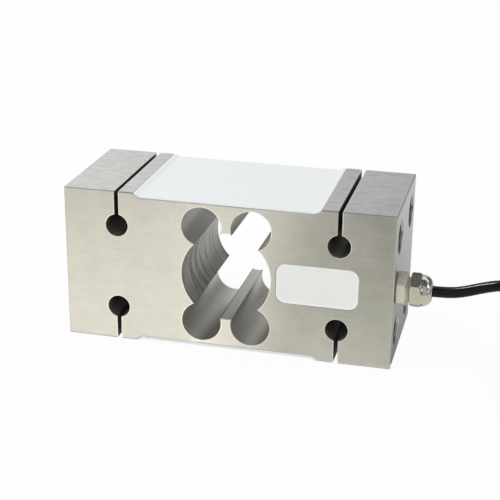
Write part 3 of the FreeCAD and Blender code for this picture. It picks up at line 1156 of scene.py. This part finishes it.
@dataclass
class BeamBlock:
    """Machined steel beam with its clover cut, slots, recesses, pocket and holes."""

    half_length: float = HALF_LENGTH
    half_depth: float = HALF_DEPTH
    height: float = HEIGHT
    bore: float = 0.0230
    lobe: float = 0.0102
    lobe_x: float = 0.0128
    lobe_heights: Pair = (0.0147, 0.0663)
    slot_x: float = 0.0572
    slot_half: float = 0.0010
    relief: float = 0.00575
    relief_heights: Pair = (0.0182, 0.0628)
    gland_line: Pair = GLAND_LINE
    gland_tap: float = 0.00605
    gland_tap_end: float = 0.0770
    cable_way: float = 0.0035
    cable_way_end: float = 0.0620
    passage: float = 0.0019
    passage_x: float = 0.03777
    passage_middle: float = 0.0660
    passage_length: float = 0.0320
    edge: float = 0.0005
    edge_reach: float = 0.000525
    overrun: float = 0.0010
    slack: float = 0.0001
    thread_reach: float = 0.0225
    recess: Recess = Recess()
    pocket: Pocket = Pocket()
    holes: EndHoles = EndHoles()

    def build(self) -> None:
        """Cut the beam from its block and dress it."""
        beam = add_box("beam", (-self.half_length, -self.half_depth, 0.0),
                       (self.half_length, self.half_depth, self.height))
        combine(beam, [*self._clover(), *self._slots(), *self._recesses(), self._pocket()])
        soften(beam, self.edge)
        combine(beam, [*self.holes.drills(), *self._drillings()])
        shade(beam)
        dress(beam, *BEAM_FINISHES)
        for face in beam.data.polygons:
            face.material_index = BEAM_FINISHES.index(self._finish(face.center, face.normal))
        hand_over(beam, "beam_metal", "beam_body")
        self.holes.threads()

    def _through(self, name: str, radius: float, x: float, z: float, sides: int) -> Object:
        """Rod through the beam from front to back."""
        length = 2 * (self.half_depth + self.overrun)
        return add_rod(name, radius, (x, 0.0, z), length, Axis.Y, sides, math.pi / sides)

    def _clover(self) -> list[Object]:
        """Make the rods for the bore and its four lobes.

        Returns:
            The rods.
        """
        rods = [self._through("bore", self.bore, 0.0, self.height / 2, 2 * FINE_ROUND)]
        for x in (-self.lobe_x, self.lobe_x):
            rods += [self._through("lobe", self.lobe, x, z, FINE_ROUND) for z in self.lobe_heights]
        return rods

    def _slots(self) -> list[Object]:
        """Make the bodies of the saw cuts and relief holes.

        Returns:
            The bodies.
        """
        tools = []
        side = self.half_depth + self.overrun
        for x in (-self.slot_x, self.slot_x):
            for z, end in zip(self.relief_heights, (-self.overrun, self.height + self.overrun)):
                tools.append(self._through("relief", self.relief, x, z, RELIEF_ROUND))
                tools.append(add_box("slot", (x - self.slot_half, -side, min(z, end)),
                                     (x + self.slot_half, side, max(z, end))))
        return tools

    def _recesses(self) -> list[Object]:
        """Bodies of the upper and the lower recess."""
        upper = self.recess.form("upper_recess", self.overrun)
        return [upper, twin(upper, "lower_recess", upside_down(self.height))]

    def _pocket(self) -> Object:
        """Body of the wiring pocket."""
        return self.pocket.form("pocket", -self.half_depth - self.overrun)

    def _drillings(self) -> list[Object]:
        """Make the bodies of the gland hole and of the wire passages to the pocket.

        Returns:
            The bodies.
        """
        gland = turned("gland_drill", [
            (self.half_length + self.overrun, self.gland_tap), (self.gland_tap_end, self.gland_tap),
            (self.gland_tap_end, self.cable_way), (self.cable_way_end, self.cable_way),
        ], self.gland_line, SMALL_ROUND)
        passages = [add_rod("passage", self.passage, (self.passage_x, self.gland_line[0], z),
                            self.passage_length, Axis.Z, PASSAGE_ROUND)
                    for z in (self.passage_middle, self.height - self.passage_middle)]
        return [gland, *passages]

    def _finish(self, centre: Vector, normal: Vector) -> Finish:
        """Choose a face's finish by its place and normal.

        Args:
            centre: Middle of the face.
            normal: Direction that it looks in.

        Returns:
            The finish.
        """
        x, z = abs(centre.x), centre.z
        ends, sides, levels = self._outsides_near(centre)
        # Edge breaks: painted soft light on upright corners, painted shade on level corners, painted
        # highlight at slot mouths
        if max(abs(part) for part in normal) < STRAIGHT:
            if ends + sides + levels > 1:
                return EDGE_SOFT_LIGHT if abs(normal.z) < ACROSS else EDGES
            if sides:
                return self._side_edge(x, z)
            if levels and abs(x - self.slot_x) < self.slot_half + 2 * self.edge:
                return EDGE_HIGHLIGHTS
        wall = self._cut_wall(x, z, normal) if abs(normal.y) < ACROSS else None
        if wall:
            return wall
        inside = not (ends or sides or levels)
        if x > self.half_length - self.thread_reach and abs(normal.x) < ALONG and inside:
            return THREADED
        return GROUND if abs(normal.z) > ALONG else MILLED

    def _side_edge(self, x: float, z: float) -> Finish:
        """Choose the finish of a broken edge on the front or back.

        Args:
            x: Distance from the beam's middle.
            z: Height.

        Returns:
            Painted highlight at holes, painted soft light at the recesses, the face's own finish at the
            pocket, or painted shade elsewhere.
        """
        if self._at_hole(x, z):
            return EDGE_HIGHLIGHTS
        if max(z, self.height - z) > self.recess.floor - 2 * self.edge:
            return EDGE_SOFT_LIGHT
        at_pocket = self.pocket.left - self.edge < x < self.pocket.right + self.edge
        return MILLED if at_pocket else EDGES

    def _cut_wall(self, x: float, z: float, normal: Vector) -> Finish | None:
        """Choose the finish of a wall in the clover cut, a relief hole or a slot.

        Args:
            x: Distance from the beam's middle.
            z: Height.
            normal: Direction that the wall looks in.

        Returns:
            The finish, or nothing where the wall is elsewhere.
        """
        if math.hypot(x, z - self.height / 2) < self.bore + self.slack:
            # The bore's wall facing straight up or down takes the lighter finish: painted light
            return REAMED_AND_LIT if abs(normal.z) > ALONG else BORED_AND_SHADED
        if self._within(x, z, self.lobe_x, self.lobe_heights, self.lobe):
            return REAMED_AND_LIT
        if self._within(x, z, self.slot_x, self.relief_heights, self.relief):
            return SAWN
        if abs(x - self.slot_x) < self.slot_half + self.slack and abs(normal.x) > ALONG:
            return SLIT
        return None

    def _within(self, x: float, z: float, middle: float, heights: Pair, radius: float) -> bool:
        """Whether a place lies in one of two holes above each other."""
        return any(math.hypot(x - middle, z - height) < radius + self.slack for height in heights)

    def _at_hole(self, x: float, z: float) -> bool:
        """Find out whether a place on the front or back lies at the mouth of a hole or slot.

        Args:
            x: Distance from the beam's middle.
            z: Height.

        Returns:
            Whether it does.
        """
        margin = 2 * self.edge
        return (math.hypot(x, z - self.height / 2) < self.bore + margin
                or abs(x - self.slot_x) < self.slot_half + margin
                or self._within(x, z, self.lobe_x, self.lobe_heights, self.lobe + margin)
                or self._within(x, z, self.slot_x, self.relief_heights, self.relief + margin))

    def _outsides_near(self, centre: Vector) -> tuple[bool, bool, bool]:
        """Find out which outsides are near: an end, the front or back, the top or underside.

        Args:
            centre: Middle of a face.

        Returns:
            The three answers.
        """
        return (self.half_length - abs(centre.x) < self.edge_reach,
                self.half_depth - abs(centre.y) < self.edge_reach,
                min(centre.z, self.height - centre.z) < self.edge_reach)


@dataclass
class GaugeCovers:
    """White rubber sheets in the upper and the lower recess."""

    thick: float = 0.0013
    gap: float = 0.00005
    height: float = HEIGHT
    edge: float = 0.0003
    edge_facets: int = 3
    arc_steps: int = 10
    arc: float = 66.0
    smooth: float = 40.0
    recess: Recess = Recess()

    def build(self) -> None:
        """Make the upper sheet, copy it to the underside and dress both."""
        upper = self._sheet()
        soften(upper, self.edge, self.edge_facets)
        shade(upper, self.smooth)
        dress(upper, COVER)
        lower = twin(upper, "lower_cover", upside_down(self.height))
        hand_over(upper, "cover_rubber", "upper_gauge_cover")
        hand_over(lower, "cover_rubber", "lower_gauge_cover")

    def _sheet(self) -> Object:
        """Make a flat sheet, draw its ends up the recess's hollows and cut them level with the top.

        Returns:
            The sheet.
        """
        long = 2 * self.recess.floor_half
        wide = 2 * (self.recess.half_depth - self.gap)
        deselect()
        bpy.ops.mesh.primitive_plane_add(size=1.0, location=(0.0, 0.0, self.recess.floor))
        bpy.ops.transform.resize(value=(long, wide, 1.0))
        sheet = settle("upper_cover")
        for side in (-1, 1):
            self._draw_up(sheet, side)
        modify(sheet, "SOLIDIFY", thickness=self.thick, offset=1.0, use_even_offset=True)
        with editing(sheet):
            bpy.ops.mesh.select_all(action="SELECT")
            bpy.ops.mesh.bisect(plane_co=(0.0, 0.0, self.height - self.gap),
                                plane_no=(0.0, 0.0, 1.0), use_fill=True, clear_outer=True)
        outward(sheet)
        return sheet

    def _draw_up(self, sheet: Object, side: int) -> None:
        """Carry one end of the sheet up its hollow.

        Args:
            sheet: Sheet to draw.
            side: Minus one for the left end and one for the right end.
        """
        radius = self.recess.hollow
        end = side * self.recess.floor_half
        angles = [math.radians(self.arc * step / self.arc_steps) for step in range(self.arc_steps + 1)]
        with editing(sheet) as mesh:
            pick_edges(mesh, lambda middle, along: abs(middle.x - end) < SAME)
            for last, angle in zip(angles, angles[1:]):
                step = (side * radius * (math.sin(angle) - math.sin(last)), 0.0,
                        radius * (math.cos(last) - math.cos(angle)))
                bpy.ops.mesh.extrude_edges_move(TRANSFORM_OT_translate={"value": step})


@dataclass
class PocketFill:
    """Poured compound in the wiring pocket, sunk from its rim in steps of a width and a drop."""

    rim: float = -0.0349
    rim_steps: tuple[Pair, ...] = ((0.00035, 0.00014), (0.0006, 0.00009))
    inner_steps: tuple[Pair, ...] = ((0.0012, 0.00005), (0.0025, 0.00002))
    smooth: float = 40.0
    pocket: Pocket = Pocket()

    def build(self) -> None:
        """Fill the pocket, sink the middle in steps and dress it, with a painted highlight on its
        drawn-up rim.
        """
        fill = self.pocket.form("pocket_fill", self.rim)
        with editing(fill) as mesh:
            pick_faces(mesh, lambda face: face.normal.y < -ALONG)
            for width, drop in (*self.rim_steps, *self.inner_steps):
                bpy.ops.mesh.inset(thickness=width)
                bpy.ops.transform.translate(value=(0.0, drop, 0.0))
        shade(fill, self.smooth)
        dress(fill, POTTING, POTTING_RIM_HIGHLIGHT)
        rim_end = self.rim + sum(drop for _, drop in self.rim_steps)
        # Faces of the drawn-up rim get the painted highlight
        for face in fill.data.polygons:
            face.material_index = int(face.center.y < rim_end)
        hand_over(fill, "potting_white", "pocket_potting")


# Gland


@dataclass
class CableGland:
    """Nickel-plated gland: base with its hexagon and thread, and the domed nut."""

    line: Pair = GLAND_LINE
    flats: float = 0.0160
    chamfer_run: float = 0.0014
    stem: tuple[Pair, ...] = ((0.0770, 0.0060), (0.0860, 0.0060))
    base: Pair = (0.0857, 0.0902)
    neck: float = 0.0877
    thread_root: float = 0.0058
    thread_crest: float = 0.0064
    thread_sink: float = 0.0001
    thread_end: float = 0.0980
    pitch: float = 0.0015
    nut: Pair = (0.0921, 0.0975)
    nut_bore: float = 0.00645
    nut_bore_span: Pair = (0.0911, 0.0980)
    dome_lap: float = 0.0007
    dome_foot: Pair = (0.0975, 0.0079)
    dome_full: Pair = (0.10107, 0.00675)
    dome_end: Pair = (0.1026, 0.0044)
    dome_steps: int = 18
    mouth: float = 0.00295
    mouth_edge: Pair = (0.0003, 0.0002)
    mouth_depth: float = 0.0030
    overrun: float = 0.0005
    edge: float = 0.00018
    nut_smooth: float = 32.0

    def build(self) -> list[Object]:
        """Make and dress the gland's two metal pieces.

        Returns:
            The base and the nut.
        """
        base = self._base()
        hand_over(base, "gland_nickel", "gland_body")
        nut = self._nut()
        hand_over(nut, "gland_nickel", "gland_dome_nut")
        return [base, nut]

    def _hexagon(self, name: str, span: Pair, near_chamfer: bool) -> Object:
        """Hexagon with a flat to the front and its corners turned off.

        Args:
            name: Name of the hexagon.
            span: Start and end along X.
            near_chamfer: Whether the start is turned off too.

        Returns:
            The hexagon.
        """
        start, end = span
        corner = self.flats / math.sqrt(3.0)
        wide = 2 * corner - self.flats / 2
        middle = ((start + end) / 2, *self.line)
        body = add_rod(name, corner, middle, end - start, Axis.X, 6, math.pi / 2)
        if near_chamfer:
            stations = [(start, self.flats / 2), (start + self.chamfer_run, wide)]
        else:
            stations = [(start - self.overrun, wide)]
        stations += [(end - self.chamfer_run, wide), (end, self.flats / 2)]
        combine(body, [turned("turning", stations, self.line)], Cut.COMMON)
        return body

    def _base(self) -> Object:
        """Make the stem, hexagon and upper thread of the gland's base.

        Returns:
            The base.
        """
        body = self._hexagon("gland_base", self.base, False)
        soften(body, self.edge)
        core = turned("core", [*self.stem, (self.neck, self.thread_root),
                               (self.thread_end, self.thread_root)], self.line)
        turns = int((self.thread_end - self.base[1]) / self.pitch)
        thread = ridge("gland_thread", self.thread_root - self.thread_sink, self.thread_crest,
                       self.pitch, turns, self.base[1] + self.pitch / 4)
        thread.data.transform(Matrix.Translation((0.0, *self.line)))
        for piece in (body, core):
            shade(piece)
        for piece in (body, core, thread):
            dress(piece, DULL_NICKEL)
        return join([body, core, thread], "gland_base")

    def _nut(self) -> Object:
        """Make the domed nut with its bore.

        Returns:
            The nut.
        """
        nut = self._hexagon("gland_nut", self.nut, True)
        (foot_x, foot), (end_x, _) = self.dome_foot, self.dome_end
        run, rise = self.mouth_edge
        dome = turned("dome", [
            (foot_x - self.dome_lap, foot), *self._arc(), (end_x, self.mouth + rise),
            (end_x - run, self.mouth), (end_x - self.mouth_depth, self.mouth)], self.line)
        combine(nut, [dome], Cut.JOINED)
        stations = [(place, self.nut_bore) for place in self.nut_bore_span]
        combine(nut, [turned("nut_bore", stations, self.line)])
        soften(nut, self.edge, angle=self.nut_smooth)
        shade(nut, self.nut_smooth)
        dress(nut, NICKEL)
        return nut

    def _arc(self) -> list[Pair]:
        """Lay the dome's arc through its foot, its fullest point and its end.

        Returns:
            Stations along the arc.
        """
        (x1, r1), (x2, r2), (x3, r3) = self.dome_foot, self.dome_full, self.dome_end
        det = 2 * ((x2 - x1) * (r3 - r1) - (x3 - x1) * (r2 - r1))
        left = x2 * x2 + r2 * r2 - x1 * x1 - r1 * r1
        right = x3 * x3 + r3 * r3 - x1 * x1 - r1 * r1
        middle_x = (left * (r3 - r1) - right * (r2 - r1)) / det
        middle_r = ((x2 - x1) * right - (x3 - x1) * left) / det
        radius = math.hypot(x1 - middle_x, r1 - middle_r)
        first = math.atan2(r1 - middle_r, x1 - middle_x)
        last = math.atan2(r3 - middle_r, x3 - middle_x)
        stations = []
        for step in range(self.dome_steps + 1):
            angle = first + (last - first) * step / self.dome_steps
            stations.append((middle_x + radius * math.cos(angle), middle_r + radius * math.sin(angle)))
        return stations


# Pieces that keep their solids


@dataclass(frozen=True)
class InnerWiring:
    """Gauges, wiring and small parts that stay as their solids."""

    single: tuple[tuple[str, Finish], ...] = (
        ("bridge_board", BOARD), ("trim_resistors", RESISTOR), ("drain_wire", TINNED),
        ("cable_entry", JACKET), ("gland_gasket", LIT_GASKET_RUBBER), ("gland_seal", SEAL_RUBBER),
        ("gland_claw", CLAW_NYLON), ("lead_tips", TINNED),
    )
    above_and_below: tuple[tuple[str, Finish], ...] = (
        ("left_gauge", GAUGE_FILM), ("right_gauge", GAUGE_FILM), ("terminal_strip", COPPER),
        ("jumper_ribbons", COPPER), ("bridge_wires", BRIDGE_SLEEVE),
    )

    def dress(self) -> None:
        """Give each solid its finish."""
        for name, finish in self.single:
            dress_node(name, finish)
        for level in ("upper", "lower"):
            for name, finish in self.above_and_below:
                dress_node(level + "_" + name, finish)
        for colour, finish in CORE_SLEEVES.items():
            dress_node("core_" + colour, finish)


# Studio

Stops = tuple[tuple[float, Triple], ...]

# Turns of the cards in degrees; the last lies along the view that the front mirrors
FLAT = (0.0, 0.0, 0.0)
UPRIGHT = (90.0, 0.0, 0.0)
SIDEWAYS = (90.0, 0.0, 90.0)
ALONG_VIEW = (0.0, 0.0, -13.7)


def grey(value: float) -> Triple:
    """Colour with three equal parts."""
    return (value, value, value)


def plain(colour: Triple) -> Stops:
    """Stops of a card in one colour."""
    return ((0.0, colour), (1.0, colour))


@dataclass(frozen=True)
class Card:
    """Card that only reflections show, coloured by stops along its width and faded along its depth."""

    name: str
    spot: Triple
    size: Pair
    stops: Stops
    glow: float = 1.0
    fade: float = 0.0
    turn: Triple = FLAT
    only_on: str = ""

    def build(self) -> None:
        """Put the card up and make it part of the stage."""
        deselect()
        turn = [math.radians(part) for part in self.turn]
        bpy.ops.mesh.primitive_plane_add(size=1.0, location=self.spot, rotation=turn)
        card = bpy.context.active_object
        card.scale = (*self.size, 1.0)
        card.name = self.name
        card.data.materials.append(self._paint())
        for rays in ("camera", "diffuse", "transmission", "volume_scatter", "shadow"):
            setattr(card, "visible_" + rays, False)
        if self.only_on:
            lit = bpy.data.collections.new(self.name + "_lit")
            lit.objects.link(bpy.data.objects[self.only_on])
            card.light_linking.receiver_collection = lit

    def _paint(self) -> Material:
        """Make a glow that follows the stops; a card's own X and Y run from -0.5 to 0.5.

        Returns:
            The material.
        """
        paint = bpy.data.materials.new(self.name)
        paint.use_nodes = True
        tree = paint.node_tree
        tree.nodes.clear()
        place = tree.nodes.new("ShaderNodeTexCoord")
        parts = tree.nodes.new("ShaderNodeSeparateXYZ")
        tree.links.new(place.outputs["Object"], parts.inputs["Vector"])
        ramp = tree.nodes.new("ShaderNodeValToRGB")
        while len(ramp.color_ramp.elements) < len(self.stops):
            ramp.color_ramp.elements.new(0.5)
        for element, (spot, colour) in zip(ramp.color_ramp.elements, self.stops):
            element.position = spot
            element.color = (*colour, 1.0)
        tree.links.new(reckon(tree, "ADD", parts.outputs["X"], 0.5), ramp.inputs["Fac"])
        fall = reckon(tree, "MULTIPLY_ADD", parts.outputs["Y"], self.glow * self.fade,
                      self.glow * (1.0 - self.fade / 2))
        light = tree.nodes.new("ShaderNodeEmission")
        out = tree.nodes.new("ShaderNodeOutputMaterial")
        tree.links.new(ramp.outputs["Color"], light.inputs["Color"])
        tree.links.new(fall, light.inputs["Strength"])
        tree.links.new(light.outputs["Emission"], out.inputs["Surface"])
        return paint


WARM = (1.0, 0.96, 0.84)
SHADED = (0.48, 0.475, 0.41)
DUSKY = (0.33, 0.325, 0.28)

# Cards on the floor in front, which the beam's front mirrors
FRONT_CARDS = (
    Card("left_card", (-0.27, -0.2855, 0.0005), (0.5, 0.50), plain(WARM), glow=1.345, fade=0.4),
    Card("foot_card", (-0.27, -0.0465, 0.0006), (0.5, 0.022), plain(WARM), glow=1.28),
    Card("front_card", (0.23, -0.2855, 0.0005), (0.5, 0.50), (
        (0.0, WARM), (0.09, SHADED), (0.15, SHADED), (0.42, DUSKY)), glow=1.74, fade=1.0),
    Card("gleam_card", (-0.050, -0.25, 0.00056), (0.05, 0.20), plain(WARM), glow=2.2,
         turn=ALONG_VIEW),
    Card("slant_card", (0.007, -0.227, 0.00055), (0.06, 0.30), plain(SHADED), glow=1.25, fade=0.65,
         turn=ALONG_VIEW),
)

# Card far behind, which the top mirrors
BACK_CARD = Card("back_card", (0.0, 0.6, 0.36), (1.4, 0.72), (
    (0.25, grey(1.0)), (0.54, grey(0.50)), (0.69, grey(0.50)), (0.73, grey(0.10)),
), glow=1.08, turn=UPRIGHT)

# Cards on the floor at the right, which the end and the gland mirror
END_CARDS = (
    Card("end_card", (0.335, 0.13, 0.0006), (0.5, 0.32), plain(grey(1.0)), glow=1.18, fade=0.8),
    Card("side_card", (0.46, -0.17, 0.0007), (0.56, 0.42), ((0.0, grey(0.45)), (1.0, grey(0.12)))),
    Card("dusk_card", (0.72, 0.245, 0.0008), (1.0, 0.41), plain(grey(0.12))),
    Card("gland_card", (0.17, -0.055, 0.0009), (0.14, 0.17), plain(WARM), glow=0.68),
)

# Cards all round, which round and slanting faces mirror
ROOM_CARDS = (
    Card("ceiling_card", (0.25, -0.47, 0.8), (1.9, 1.36), plain(grey(0.10))),
    Card("behind_card", (0.69, -0.54, 0.40), (1.02, 0.80), plain(grey(0.45)), turn=UPRIGHT),
    Card("sill_card", (-0.26, -0.54, 0.09), (0.88, 0.18), plain(grey(0.08)), turn=UPRIGHT),
    Card("right_card", (1.15, -0.25, 0.48), (1.8, 0.70), plain(grey(0.10)), turn=SIDEWAYS),
    Card("far_card", (0.85, 0.8, 0.45), (0.7, 0.80), plain(grey(0.15)), turn=(90.0, 0.0, -35.0)),
    Card("strip_card", (1.05, -0.05, 0.52), (0.42, 0.50), plain(grey(1.0)), glow=1.5,
         turn=SIDEWAYS),
)

# Card that gives the cable its bright line, and light to nothing else
TUBE_CARD = Card("tube_card", (0.30, 0.196, 0.79), (0.42, 0.10), plain(grey(1.0)), glow=60.0,
                 only_on="signal_cable")


@dataclass
class Studio:
    """White floor and surroundings, soft light and cards that only the metal mirrors."""

    floor_size: float = 8.0
    floor_colour: float = 0.86
    floor_roughness: float = 0.9
    floor_white: float = 0.94
    world: float = 0.86
    key_spot: Triple = (-0.5, -0.8, 1.4)
    key_size: float = 0.9
    key_power: float = 4.5
    cards: tuple[Card, ...] = (*FRONT_CARDS, BACK_CARD, *END_CARDS, *ROOM_CARDS, TUBE_CARD)

    def build(self) -> None:
        """Set the surroundings up."""
        bpy.context.scene.view_settings.view_transform = "Standard"
        self._world()
        self._floor()
        self._softbox()
        for card in self.cards:
            card.build()
        log.info("studio with %d cards", len(self.cards))

    def _world(self) -> None:
        """Make it white all round: plain light on the part, pure white to the eye."""
        world = bpy.data.worlds.new("surroundings")
        bpy.context.scene.world = world
        world.use_nodes = True
        tree = world.node_tree
        light = tree.nodes["Background"]
        preset(light, {"Color": (1.0, 1.0, 1.0, 1.0), "Strength": self.world})
        white = tree.nodes.new("ShaderNodeBackground")
        white.inputs["Color"].default_value = (1.0, 1.0, 1.0, 1.0)
        self._show(tree, light, white, tree.nodes["World Output"], 1.0)

    def _floor(self) -> None:
        """Lay a pale floor that looks nearly white and keeps a faint shadow."""
        deselect()
        bpy.ops.mesh.primitive_plane_add(size=self.floor_size)
        floor = settle("floor")
        paint = bpy.data.materials.new("pale_floor")
        paint.use_nodes = True
        tree = paint.node_tree
        shader = tree.nodes["Principled BSDF"]
        preset(shader, {"Base Color": (*grey(self.floor_colour), 1.0),
                        "Roughness": self.floor_roughness, "Specular IOR Level": 0.0})
        white = tree.nodes.new("ShaderNodeEmission")
        self._show(tree, shader, white, tree.nodes["Material Output"], self.floor_white)
        floor.data.materials.append(paint)

    @staticmethod
    def _show(tree: Tree, lit: Node, white: Node, out: Node, share: float) -> None:
        """Let the eye, mirrors and glass see white, while other light meets the lit shader.

        Args:
            tree: Tree that holds the shaders.
            lit: Shader for other light.
            white: White shader.
            out: Output of the tree.
            share: Share of white that is seen.
        """
        rays = tree.nodes.new("ShaderNodeLightPath")
        seen = rays.outputs["Is Camera Ray"]
        for kind in ("Is Glossy Ray", "Is Transmission Ray"):
            seen = reckon(tree, "MAXIMUM", seen, rays.outputs[kind])
        mix = tree.nodes.new("ShaderNodeMixShader")
        tree.links.new(reckon(tree, "MULTIPLY", seen, share), mix.inputs["Fac"])
        tree.links.new(lit.outputs[0], mix.inputs[1])
        tree.links.new(white.outputs[0], mix.inputs[2])
        tree.links.new(mix.outputs["Shader"], out.inputs["Surface"])

    def _softbox(self) -> None:
        """Hang a square soft light that looks at the beam."""
        deselect()
        bpy.ops.object.light_add(type="AREA", location=self.key_spot)
        lamp = bpy.context.active_object
        lamp.name = "key"
        lamp.data.energy = self.key_power
        lamp.data.size = self.key_size
        lamp.rotation_euler = (-Vector(self.key_spot)).to_track_quat("-Z", "Y").to_euler()


def main() -> None:
    """Build the scene piece by piece."""
    logging.basicConfig(level=logging.INFO, format="%(message)s")
    Viewpoint().place()
    cable = SensorCable()
    cable.build()
    ties = CoilTies().build()
    BeamBlock().build()
    GaugeCovers().build()
    PocketFill().build()
    gland = CableGland().build()
    InnerWiring().dress()
    Studio().build()


if __name__ == "__main__":
    main()
